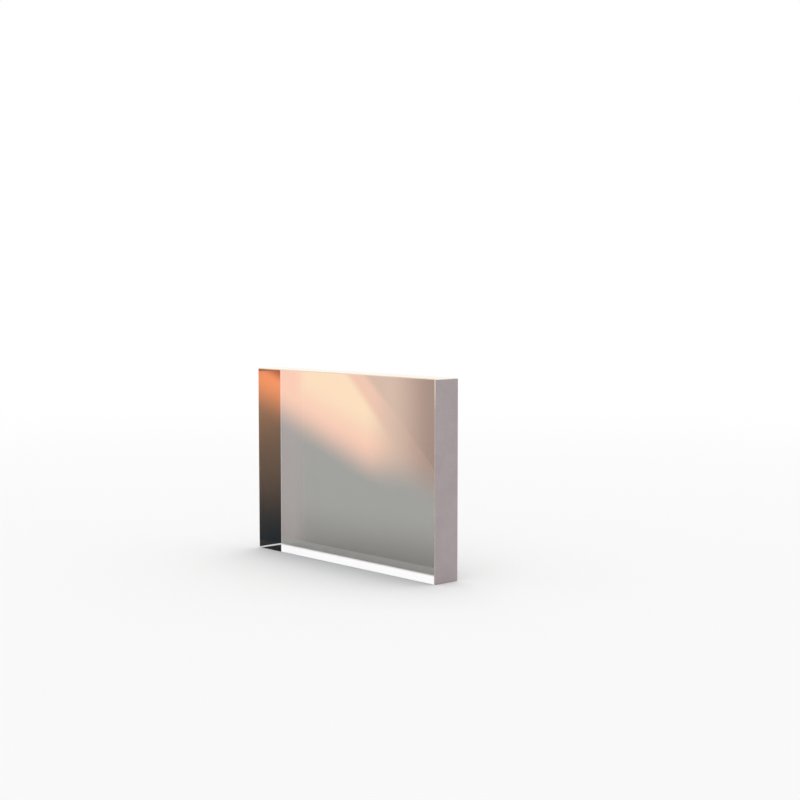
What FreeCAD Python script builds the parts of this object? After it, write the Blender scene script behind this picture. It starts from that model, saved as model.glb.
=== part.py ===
import FreeCAD, Part
import os
import Sketcher

# Rectangular plate beamsplitter, one flat plate of optical glass standing on a long edge.
# Millimetres. X runs along the width, Y through the thickness and Z up the height.
# The origin is the middle of the foot edge, halfway between the two polished faces.
# The face towards -Y carries the partly mirrored coating, the face towards +Y is the rear face.

PLATE_SIZES = (
    ("plate_width", 35.6, "along the edge that the plate stands on"),
    ("plate_height", 25.2, "from the foot edge to the top edge"),
    ("plate_thickness", 4.0, "from the coated face to the rear face"),
    ("face_bevel", 0.1, "leg of the 45 degree bevel round each polished face"),
    ("corner_bevel", 0.1, "leg of the 45 degree bevel on each corner of the outline"),
)

SAME_PLACE = 1e-6


def make_sheet(doc):
    """Lay the driving sizes out in a sheet, one row for each, with its name as the alias."""
    sheet = doc.addObject("Spreadsheet::Sheet", "sizes")
    for row, (alias, value, meaning) in enumerate(PLATE_SIZES, start=1):
        sheet.set(f"A{row}", alias)
        sheet.set(f"B{row}", str(value))
        sheet.set(f"C{row}", meaning)
        sheet.setAlias(f"B{row}", alias)
    doc.recompute()
    return sheet


def origin_plane(body, role):
    """Return the body's own origin plane with the given role."""
    return next(item for item in body.Origin.OriginFeatures if item.Role == role)


def draw_outline(body, sheet):
    """Draw the upright rectangle of the polished face, centred over the origin."""
    sketch = body.newObject("Sketcher::SketchObject", "outline")
    sketch.AttachmentSupport = [(origin_plane(body, "XZ_Plane"), "")]
    sketch.MapMode = "FlatFace"

    half_width = sheet.plate_width / 2
    corners = [
        FreeCAD.Vector(-half_width, 0, 0),
        FreeCAD.Vector(half_width, 0, 0),
        FreeCAD.Vector(half_width, sheet.plate_height, 0),
        FreeCAD.Vector(-half_width, sheet.plate_height, 0),
    ]
    foot, right, top, left = (
        sketch.addGeometry(Part.LineSegment(corners[side], corners[(side + 1) % 4]))
        for side in range(4)
    )
    start, end = 1, 2
    for side, following in ((foot, right), (right, top), (top, left), (left, foot)):
        sketch.addConstraint(Sketcher.Constraint("Coincident", side, end, following, start))
    for side in (foot, top):
        sketch.addConstraint(Sketcher.Constraint("Horizontal", side))
    for side in (left, right):
        sketch.addConstraint(Sketcher.Constraint("Vertical", side))

    sketch_origin = (-1, 1)
    sketch.addConstraint(Sketcher.Constraint("Symmetric", foot, start, foot, end, *sketch_origin))
    width = sketch.addConstraint(
        Sketcher.Constraint("DistanceX", foot, start, foot, end, sheet.plate_width)
    )
    height = sketch.addConstraint(
        Sketcher.Constraint("DistanceY", right, start, right, end, sheet.plate_height)
    )
    sketch.renameConstraint(width, "width")
    sketch.renameConstraint(height, "height")
    sketch.setExpression("Constraints.width", "sizes.plate_width")
    sketch.setExpression("Constraints.height", "sizes.plate_height")
    return sketch


def thicken_outline(body, outline):
    """Give the outline its thickness, half of it to each side of the origin."""
    slab = body.newObject("PartDesign::Pad", "slab")
    slab.Profile = outline
    slab.SideType = "Symmetric"
    slab.setExpression("Length", "sizes.plate_thickness")
    return slab


def edge_ends(edge):
    """Return the two end points of a straight edge."""
    return [vertex.Point for vertex in edge.Vertexes]


def corner_edges(shape):
    """Name the edges that run straight through the thickness."""
    names = []
    for number, edge in enumerate(shape.Edges, start=1):
        first, last = edge_ends(edge)
        if abs(first.x - last.x) < SAME_PLACE and abs(first.z - last.z) < SAME_PLACE:
            names.append(f"Edge{number}")
    return names


def face_edges(shape):
    """Name the edges that lie in one of the two polished faces."""
    names = []
    for number, edge in enumerate(shape.Edges, start=1):
        first, last = edge_ends(edge)
        if abs(first.y - last.y) < SAME_PLACE:
            names.append(f"Edge{number}")
    return names


def bevel_edges(body, name, base, edge_names, size_alias):
    """Grind an equal bevel along the named edges of the feature before it."""
    bevel = body.newObject("PartDesign::Chamfer", name)
    bevel.Base = (base, edge_names)
    bevel.ChamferType = "Equal distance"
    bevel.setExpression("Size", f"sizes.{size_alias}")
    return bevel


def build_plate(doc, sheet):
    """Build the plate: outline, thickness, corner bevels and then the bevels round the faces."""
    body = doc.addObject("PartDesign::Body", "plate")
    body.Label = "beamsplitter_plate"

    outline = draw_outline(body, sheet)
    slab = thicken_outline(body, outline)
    doc.recompute()

    corner_bevels = bevel_edges(
        body, "corner_bevels", slab, corner_edges(slab.Shape), "corner_bevel"
    )
    doc.recompute()

    bevel_edges(
        body, "face_bevels", corner_bevels, face_edges(corner_bevels.Shape), "face_bevel"
    )
    doc.recompute()
    return body


def check_document(doc, bodies):
    """Stop if any object failed to compute or any sub-part has no sound single solid."""
    for item in doc.Objects:
        if "Invalid" in item.State or "Error" in item.State:
            raise RuntimeError(f"{item.Label} did not compute: {item.State}")
    for body in bodies:
        shape = body.Shape
        if shape.isNull() or not shape.isValid() or len(shape.Solids) != 1:
            raise RuntimeError(f"{body.Label} is not one valid solid")


def write_parts(bodies):
    """Write each sub-part to a file named after its label."""
    os.makedirs("parts", exist_ok=True)
    for body in bodies:
        body.Shape.exportStep(f"parts/{body.Label}.step")
        box = body.Shape.BoundBox
        print(
            f"{body.Label}: {box.XLength:.2f} x {box.YLength:.2f} x {box.ZLength:.2f} mm,"
            f" {len(body.Shape.Faces)} faces, {body.Shape.Volume:.1f} cubic mm"
        )


doc = FreeCAD.newDocument("plate_beamsplitter")
sizes = make_sheet(doc)
sub_parts = [build_plate(doc, sizes)]
check_document(doc, sub_parts)
write_parts(sub_parts)
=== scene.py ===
import math

import bmesh
import bpy
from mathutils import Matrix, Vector


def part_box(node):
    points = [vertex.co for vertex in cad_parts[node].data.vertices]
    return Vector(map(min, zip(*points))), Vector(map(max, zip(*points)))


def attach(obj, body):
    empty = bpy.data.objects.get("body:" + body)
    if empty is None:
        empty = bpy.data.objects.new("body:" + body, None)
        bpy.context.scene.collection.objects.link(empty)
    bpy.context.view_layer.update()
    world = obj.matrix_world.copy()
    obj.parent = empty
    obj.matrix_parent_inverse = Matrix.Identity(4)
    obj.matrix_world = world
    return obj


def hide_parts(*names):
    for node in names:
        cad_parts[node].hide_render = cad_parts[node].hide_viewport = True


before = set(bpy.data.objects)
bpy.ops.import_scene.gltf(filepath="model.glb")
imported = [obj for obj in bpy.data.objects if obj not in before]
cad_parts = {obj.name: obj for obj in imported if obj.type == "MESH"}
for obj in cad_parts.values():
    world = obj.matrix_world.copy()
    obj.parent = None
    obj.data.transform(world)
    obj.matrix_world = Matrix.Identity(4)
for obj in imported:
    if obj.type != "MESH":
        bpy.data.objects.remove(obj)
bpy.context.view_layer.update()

# A plate beamsplitter that stands on its long foot edge: clear glass with finely ground edges,
# and on the front face, towards -Y, a coating that is part mirror and part tint, and that has
# painted reflections laid into its tint.
# Metres, in the frame of the imported part: X along the width, Y through the thickness, Z up.

MM = 0.001
ACROSS, BACK, UP = range(3)
PLATE_NODE = "beamsplitter_plate"
LOW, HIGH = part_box(PLATE_NODE)
BEVEL = 0.1 * MM

# The border along the foot that the coating leaves clear
CLEAR_BORDER = 1.19 * MM

# The photograph's camera: where it stands, how far it is turned to the left of straight back and
# how far down, in degrees, its lens in millimetres, and the nearest that it shows
CAMERA_PLACE = Vector((0.14078, -0.1201, 0.03524))
CAMERA_AZIMUTH = 47.58
CAMERA_DROP = 4.219
CAMERA_LENS = 63.637
CAMERA_NEAREST = 5 * MM

# The studio: a white world, dimmer for what it lights than for what is seen of it, a softbox
# overhead, and a floor just under the foot edge, which whitens between two distances
WORLD_LIGHT = 0.85
SOFTBOX_PLACE = Vector((-0.35, 0.35, 1.6))
SOFTBOX_SIZE = 1.0
SOFTBOX_POWER = 4.8
FLOOR_GAP = 0.02 * MM
FLOOR_REACH = 4.0
FLOOR_WHITENS = (0.08, 0.28)


def linear(channel):
    """How much light a channel of 0 to 255 stands for on a screen, from 0 to 1."""
    share = channel / 255
    return share / 12.92 if share <= 0.04045 else ((share + 0.055) / 1.055) ** 2.4


def rgb(red, green, blue):
    """A colour given on a scale of 0 to 255, as a shader takes it."""
    return [linear(red), linear(green), linear(blue), 1.0]


# Colours as they look on a white ground
# The colours of the coating's painted reflection of warm light
CREAM = rgb(254, 226, 193)
PEACH = rgb(255, 209, 185)
ROSE = rgb(243, 202, 179)
MAUVE = rgb(216, 188, 170)
DIM_MAUVE = rgb(168, 143, 131)
# The coating's own grey, darker towards the foot
GREY = rgb(166, 165, 160)
DEEP_GREY = rgb(143, 141, 137)
# The coating's painted reflection of the left end
ROSY_GREY = rgb(178, 168, 166)
COOL = rgb(190, 210, 225)
GROUND_DARK = rgb(162, 150, 152)
GROUND_LIGHT = rgb(172, 160, 162)
BEVEL_DARK = rgb(174, 159, 152)
BEVEL_LIGHT = rgb(186, 172, 164)
# The top edge's ground glass, painted lighter for the light that falls on it
TOP_DARK = rgb(250, 240, 229)
TOP_LIGHT = rgb(255, 250, 241)
# A painted highlight on the bevels near the top
HIGHLIGHT_BEVEL_DARK = rgb(230, 205, 185)
HIGHLIGHT_BEVEL_LIGHT = rgb(242, 219, 199)
# The colours of the painted glow of an end seen through the glass, fading to near black at the
# foot, and of a painted shadow in its upper corner
AMBER = rgb(255, 193, 143)
UMBER = rgb(168, 136, 104)
NEAR_BLACK = rgb(18, 18, 20)
SHADOW_BROWN = rgb(184, 112, 74)
WHITE = rgb(255, 255, 255)
BLACK = rgb(0, 0, 0)
FLOOR = rgb(250, 250, 250)


class Nodes:
    """The node tree of a new material or world, with short ways to fill it."""

    def __init__(self, owner):
        owner.use_nodes = True
        self.owner = owner
        self.tree = owner.node_tree
        self.tree.nodes.clear()

    def node(self, kind, inputs=None, **settings):
        """Add a node with its settings, and fill its inputs from other nodes or with values."""
        node = self.tree.nodes.new(f"ShaderNode{kind}")
        for name, value in settings.items():
            setattr(node, name, value)
        for key, value in (inputs or {}).items():
            if isinstance(value, bpy.types.NodeSocket):
                self.tree.links.new(value, node.inputs[key])
            else:
                node.inputs[key].default_value = value
        return node

    def place(self):
        """Where a point of the surface lies, in metres."""
        return self.node("TexCoord").outputs["Object"]

    def maths(self, operation, *values):
        """The result of a Math node."""
        return self.node("Math", dict(enumerate(values)), operation=operation).outputs[0]

    def rise(self, value, stretch):
        """0 before the stretch, 1 after it, and a soft rise from its low end to its high end."""
        low, high = stretch
        inputs = {"Value": value, "From Min": low, "From Max": high}
        return self.node("MapRange", inputs, interpolation_type="SMOOTHSTEP").outputs[0]

    def blend(self, share, first, second):
        """The first colour where the share is 0, the second where it is 1. A Mix node keeps its
        colours in inputs 6 and 7 and output 2, after those for values and vectors."""
        inputs = {0: share, 6: first, 7: second}
        return self.node("Mix", inputs, data_type="RGBA").outputs[2]

    def mix(self, share, first, second):
        """Two surfaces mixed by a share."""
        return self.node("MixShader", {0: share, 1: first, 2: second}).outputs[0]

    def two_sided(self, outside, inside):
        """One surface on the outside of the glass, and another where it is met from within."""
        return self.mix(self.node("NewGeometry").outputs["Backfacing"], outside, inside)

    def seen(self):
        """1 for a ray that shows what it meets, straight, mirrored or through glass, and 0 for one
        that gathers light."""
        path = self.node("LightPath").outputs
        mirrored = self.maths("MAXIMUM", path["Is Camera Ray"], path["Is Glossy Ray"])
        return self.maths("MAXIMUM", mirrored, path["Is Transmission Ray"])

    def finish(self, surface, output="OutputMaterial"):
        """Use this surface, and return what the tree belongs to."""
        self.node(output, {"Surface": surface})
        return self.owner


def new_material(name):
    """The empty node tree of a new material."""
    return Nodes(bpy.data.materials.new(name))


def how_far(shader, axis):
    """How far a point lies across, back or up the plate, from 0 to 1."""
    along = shader.node("SeparateXYZ", {0: shader.place()}).outputs[axis]
    inputs = {"Value": along, "From Min": LOW[axis], "From Max": HIGH[axis]}
    return shader.node("MapRange", inputs).outputs[0]


# The coating's pattern, its own grey with painted reflections laid into it, with the plate taken
# as 1 wide and 1 high. A pair is the stretch in which a change takes place, up from the foot or
# across from the left end, and a share is how much of a colour is laid on.
# Just above the clear border the grey is lighter, a painted reflection of the foot edge
FOOT_REFLECTION_ENDS = (0.078, 0.09)
GREY_PALES = (0.03, 0.34)
# A paler strip along the left end, a painted reflection of that end, stops in this stretch
END_REFLECTION_STOPS = (0.22, 0.32)
END_REFLECTION_SHARE = 0.6
MAUVE_FADES_IN = (0.63, 0.82)
MAUVE_SHARE = 0.9
MAUVE_DIMS = (0.76, 1.0)

# The warm band, a painted reflection of warm light, falls across the plate, and is lifted again in
# a stretch on the right. Its colours start at heights above a line that falls and lifts with it.
BAND_FALL = 0.476
BAND_LIFT = 0.1
BAND_LIFTS = (0.6, 0.95)
WARM_STARTS = (0.74, 0.97)
CREAM_STARTS = (0.92, 1.12)

# The far edge of the band, also painted reflection, falls more steeply, and the colours there
# start at heights above a line that falls with it.
FAR_EDGE_FALL = 1.3
ROSE_STARTS = (1.66, 1.74)
MAUVE_STARTS = (1.79, 1.87)


def coating_tint_and_painted_reflections(shader):
    """The coating's tint: its own grey, darker towards the foot, with painted reflections laid
    into it. A painted reflection of warm light slants down from the upper left as a warm band
    above the grey, with rose and mauve beyond it. A paler strip along the left end is a painted
    reflection of that end, and a lighter line just above the lower border is a painted reflection
    of the foot edge."""
    across = how_far(shader, ACROSS)
    up = how_far(shader, UP)
    grey = shader.blend(shader.rise(up, GREY_PALES), DEEP_GREY, GREY)
    # A paler strip along the left end: painted reflection of that end
    past_strip = shader.rise(across, END_REFLECTION_STOPS)
    grey = shader.blend(past_strip, shader.blend(END_REFLECTION_SHARE, grey, ROSY_GREY), grey)
    # Painted reflection of the foot edge: lighter grey just above the border
    grey = shader.blend(shader.rise(up, FOOT_REFLECTION_ENDS), GREY, grey)

    # The warm band and its far edge: painted reflection of warm light
    lift = shader.maths("MULTIPLY", shader.rise(across, BAND_LIFTS), BAND_LIFT)
    above = shader.maths("SUBTRACT", shader.maths("MULTIPLY_ADD", across, BAND_FALL, up), lift)
    cream = shader.maths("MINIMUM", shader.rise(above, CREAM_STARTS), past_strip)
    band = shader.blend(cream, PEACH, CREAM)

    beyond = shader.maths("MULTIPLY_ADD", across, FAR_EDGE_FALL, up)
    band = shader.blend(shader.rise(beyond, ROSE_STARTS), band, ROSE)
    mauve = shader.blend(shader.rise(across, MAUVE_DIMS), MAUVE, DIM_MAUVE)
    fading = shader.maths("MULTIPLY", shader.rise(across, MAUVE_FADES_IN), MAUVE_SHARE)
    share = shader.maths("MAXIMUM", shader.rise(beyond, MAUVE_STARTS), fading)
    warm = shader.blend(share, band, mauve)
    return shader.blend(shader.rise(above, WARM_STARTS), grey, warm)


# How much each polished face mirrors, seen head on, and how fast that grows as it is seen aslant
COATED_MIRROR = 0.03
BORDER_MIRROR = 0.02
REAR_MIRROR = 0.04
MIRROR_GROWTH = 5.0

# The stretch, up the plate, in which the light let through gains its full strength
LIGHT_GAINS = (0.0, 0.65)


def mirror_share(shader, head_on):
    """How much of the light a polished face mirrors: more, the more it is seen aslant. With a
    Blend of 0.5, Facing is 0 for a face seen head on and 1 for a face seen edge on."""
    aslant = shader.node("LayerWeight", {"Blend": 0.5}).outputs["Facing"]
    growth = shader.maths("POWER", aslant, MIRROR_GROWTH)
    return shader.maths("MULTIPLY_ADD", growth, 1 - head_on, head_on)


def polished(shader, tint, head_on, mirrored):
    """Polished glass, which shows what is behind it in the tint, and what it mirrors in a colour
    of its own. The light that it lets through takes no tint, because what the coating holds back
    it mirrors, but low down less comes through, because the foot edge turns it back up."""
    light = shader.blend(shader.rise(how_far(shader, UP), LIGHT_GAINS), BLACK, WHITE)
    colour = shader.blend(shader.seen(), light, tint)
    through = shader.node("BsdfTransparent", {"Color": colour}).outputs[0]
    mirror = shader.node("BsdfGlossy", {"Color": mirrored, "Roughness": 0.0}).outputs[0]
    return shader.mix(mirror_share(shader, head_on), through, mirror)


def coated_glass():
    """Polished glass under the coating."""
    shader = new_material("coated_glass")
    return shader.finish(polished(shader, coating_tint_and_painted_reflections(shader), COATED_MIRROR, COOL))


def clear_glass(name, head_on):
    """Polished clear glass."""
    shader = new_material(name)
    return shader.finish(polished(shader, WHITE, head_on, WHITE))


# Ground glass: fine grains, and clouds that shade it from place to place
GRAINS_PER_METRE = 6000.0
CLOUDS_PER_METRE = 400.0
GRAIN_SHARE = 0.6
GRAIN_LIGHTENS = (0.35, 0.65)
GRAIN_DEPTH = 0.03 * MM
GRAIN_RELIEF = 0.4
LEAST_ROUGHNESS = 0.3
ROUGHNESS_SPREAD = 0.4


def spots(shader, per_metre, detail):
    """Soft spots without order, so many to the metre."""
    inputs = {"Vector": shader.place(), "Scale": per_metre, "Detail": detail}
    return shader.node("TexNoise", inputs).outputs[0]


def ground(shader, dark, light):
    """Finely ground glass: small grains that scatter the light, a little cloudy from place to
    place."""
    grains = spots(shader, GRAINS_PER_METRE, detail=3.0)
    clouds = spots(shader, CLOUDS_PER_METRE, detail=2.0)
    cloudiness = shader.maths("MULTIPLY", clouds, 1 - GRAIN_SHARE)
    both = shader.maths("MULTIPLY_ADD", grains, GRAIN_SHARE, cloudiness)
    colour = shader.blend(shader.rise(both, GRAIN_LIGHTENS), dark, light)
    inputs = {"Height": grains, "Strength": GRAIN_RELIEF, "Distance": GRAIN_DEPTH}
    bumps = shader.node("Bump", inputs).outputs[0]
    rough = shader.maths("MULTIPLY_ADD", grains, ROUGHNESS_SPREAD, LEAST_ROUGHNESS)
    inputs = {"Base Color": colour, "Roughness": rough, "Normal": bumps}
    return shader.node("BsdfPrincipled", inputs).outputs[0]


# The painted glow of an end that is seen through the glass, by height, with the plate taken as 1
# high.
# The painted shadow in its upper corner starts above a line that falls towards the back.
UMBER_STARTS = (0.0, 0.6)
AMBER_STARTS = (0.5, 0.96)
RIM_STARTS = (0.978, 0.987)
SHADOW_FALL = 0.09
SHADOW_STARTS = (0.985, 1.07)
GLOW_ROUGHNESS = 0.4


def ground_end():
    """An end of the plate: finely ground outside. Where it is seen through the glass it has a
    painted amber glow, a painted reflection of the coating's colour that fades to near black
    towards the foot, with a painted shadow in its upper corner, deeper towards the back, and a
    brown rim along its top."""
    shader = new_material("ground_end")
    up = how_far(shader, UP)
    # A painted glow: amber up the end, near black towards the foot, standing in for reflected
    # light
    glow = shader.blend(shader.rise(up, UMBER_STARTS), NEAR_BLACK, UMBER)
    glow = shader.blend(shader.rise(up, AMBER_STARTS), glow, AMBER)
    # Painted shadow in the upper corner, deeper towards the back
    corner = shader.maths("MULTIPLY_ADD", how_far(shader, BACK), SHADOW_FALL, up)
    glow = shader.blend(shader.rise(corner, SHADOW_STARTS), glow, SHADOW_BROWN)
    glow = shader.blend(shader.rise(up, RIM_STARTS), glow, UMBER)
    inputs = {"Color": glow, "Roughness": GLOW_ROUGHNESS}
    inside = shader.node("BsdfGlossy", inputs).outputs[0]
    outside = ground(shader, GROUND_DARK, GROUND_LIGHT)
    return shader.finish(shader.two_sided(outside, inside))


def ground_top():
    """The top edge: finely ground glass, painted much lighter than the ends for the light that
    falls on it.
    """
    shader = new_material("ground_top")
    # Painted light: a lighter copy of the ground glass of the ends
    return shader.finish(ground(shader, TOP_DARK, TOP_LIGHT))


# The stretch, up the plate, in which a painted highlight comes onto the bevels
BEVEL_HIGHLIGHT_STARTS = (0.8, 1.0)


def ground_bevel():
    """The bevels: ground to a satin, lightened near the top by a painted highlight, and glowing
    where light comes through from behind."""
    shader = new_material("ground_bevel")
    # A painted highlight near the top
    highlight = shader.rise(how_far(shader, UP), BEVEL_HIGHLIGHT_STARTS)
    dark = shader.blend(highlight, BEVEL_DARK, HIGHLIGHT_BEVEL_DARK)
    light = shader.blend(highlight, BEVEL_LIGHT, HIGHLIGHT_BEVEL_LIGHT)
    inside = shader.node("BsdfTranslucent", {"Color": WHITE}).outputs[0]
    return shader.finish(shader.two_sided(ground(shader, dark, light), inside))


# The foot edge is smoother than the rest of the ground glass
FOOT_ROUGHNESS = 0.05


def foot_glass():
    """The foot edge, whose inner side mirrors the light behind the plate."""
    shader = new_material("foot_glass")
    inputs = {"Color": WHITE, "Roughness": FOOT_ROUGHNESS}
    return shader.finish(shader.node("BsdfGlossy", inputs).outputs[0])


# The least that a face's normal has along an axis where the face looks straight that way, and
# where it looks partly that way, as a bevel or a corner does.
STRAIGHT = 0.99
PARTLY = 0.5


def finish_of(normal, centre):
    """Which finish a face of the plate has, from where it points and lies. The front bevel of the
    foot is as clear as the border over it, and the bevels of the top edge are ground with it,
    apart from the front one."""
    if normal.y > STRAIGHT:
        return "rear"
    if normal.y < -STRAIGHT:
        return "coated" if centre.z > LOW.z + CLEAR_BORDER else "border"
    if normal.z < -STRAIGHT:
        return "foot"
    if normal.z < -PARTLY and normal.y < -PARTLY:
        return "border"
    if normal.z > PARTLY and normal.y > -PARTLY:
        return "top"
    return "end" if abs(normal.x) > STRAIGHT else "bevel"


def add_object(name, data):
    """A new object in the scene."""
    item = bpy.data.objects.new(name, data)
    bpy.context.scene.collection.objects.link(item)
    return item


def plate_form():
    """The plate's shape: one closed form, with its bevels and the line where the coating ends."""
    form = bmesh.new()
    bmesh.ops.create_cube(form, size=1.0)
    bmesh.ops.scale(form, vec=HIGH - LOW, verts=form.verts)
    bmesh.ops.translate(form, vec=(HIGH + LOW) / 2, verts=form.verts)
    bmesh.ops.bevel(form, geom=form.edges[:], offset=BEVEL, segments=1, affect="EDGES")
    form.normal_update()
    front = next(face for face in form.faces if face.normal.y < -STRAIGHT)
    bmesh.ops.bisect_plane(
        form,
        geom=[front, *front.edges, *front.verts],
        plane_co=(0, 0, LOW.z + CLEAR_BORDER),
        plane_no=(0, 0, 1),
    )
    return form


def make_plate():
    """The plate, one piece with a finish for each kind of face."""
    finishes = {
        "coated": coated_glass(),
        "border": clear_glass("clear_border", BORDER_MIRROR),
        "rear": clear_glass("rear_glass", REAR_MIRROR),
        "end": ground_end(),
        "top": ground_top(),
        "bevel": ground_bevel(),
        "foot": foot_glass(),
    }
    mesh = bpy.data.meshes.new("coated_plate")
    for material in finishes.values():
        mesh.materials.append(material)

    form = plate_form()
    for face in form.faces:
        finish = finish_of(face.normal, face.calc_center_median())
        face.material_index = list(finishes).index(finish)
    form.to_mesh(mesh)
    form.free()

    plate = add_object("coated_plate", mesh)
    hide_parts(PLATE_NODE)
    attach(plate, "root")


def make_floor():
    """A pale floor. Towards the distance it looks white, but it gives no light of its own."""
    shader = new_material("floor")
    distance = shader.node("VectorMath", {0: shader.place()}, operation="LENGTH").outputs["Value"]
    near = shader.node("BsdfDiffuse", {"Color": FLOOR}).outputs[0]
    far = shader.node("Emission", {"Color": WHITE, "Strength": 1.0}).outputs[0]
    share = shader.maths("MULTIPLY", shader.rise(distance, FLOOR_WHITENS), shader.seen())

    mesh = bpy.data.meshes.new("floor")
    square = ((-1, -1), (1, -1), (1, 1), (-1, 1))
    corners = [(x * FLOOR_REACH, y * FLOOR_REACH, -FLOOR_GAP) for x, y in square]
    mesh.from_pydata(corners, [], [range(4)])
    mesh.materials.append(shader.finish(shader.mix(share, near, far)))
    floor = add_object("floor", mesh)


def make_world():
    """A white studio all round, dimmer for what it lights than for what is seen of it."""
    world = Nodes(bpy.data.worlds.new("studio"))
    strength = world.maths("MULTIPLY_ADD", world.seen(), 1 - WORLD_LIGHT, WORLD_LIGHT)
    background = world.node("Background", {"Color": WHITE, "Strength": strength}).outputs[0]
    bpy.context.scene.world = world.finish(background, "OutputWorld")


def make_softbox():
    """A large soft lamp overhead, turned to the middle of the foot."""
    data = bpy.data.lights.new("softbox", "AREA")
    data.size = SOFTBOX_SIZE
    data.energy = SOFTBOX_POWER
    softbox = add_object("softbox", data)
    softbox.location = SOFTBOX_PLACE
    softbox.rotation_euler = SOFTBOX_PLACE.to_track_quat("Z", "Y").to_euler()


def make_camera():
    """The photograph's camera."""
    data = bpy.data.cameras.new("camera")
    data.lens = CAMERA_LENS
    data.clip_start = CAMERA_NEAREST
    camera = add_object("camera", data)
    camera.location = CAMERA_PLACE
    camera.rotation_euler = (math.radians(90 - CAMERA_DROP), 0, math.radians(CAMERA_AZIMUTH))
    bpy.context.scene.camera = camera


bpy.context.scene.view_settings.view_transform = "Standard"
make_camera()
make_world()
make_softbox()
make_floor()
make_plate()
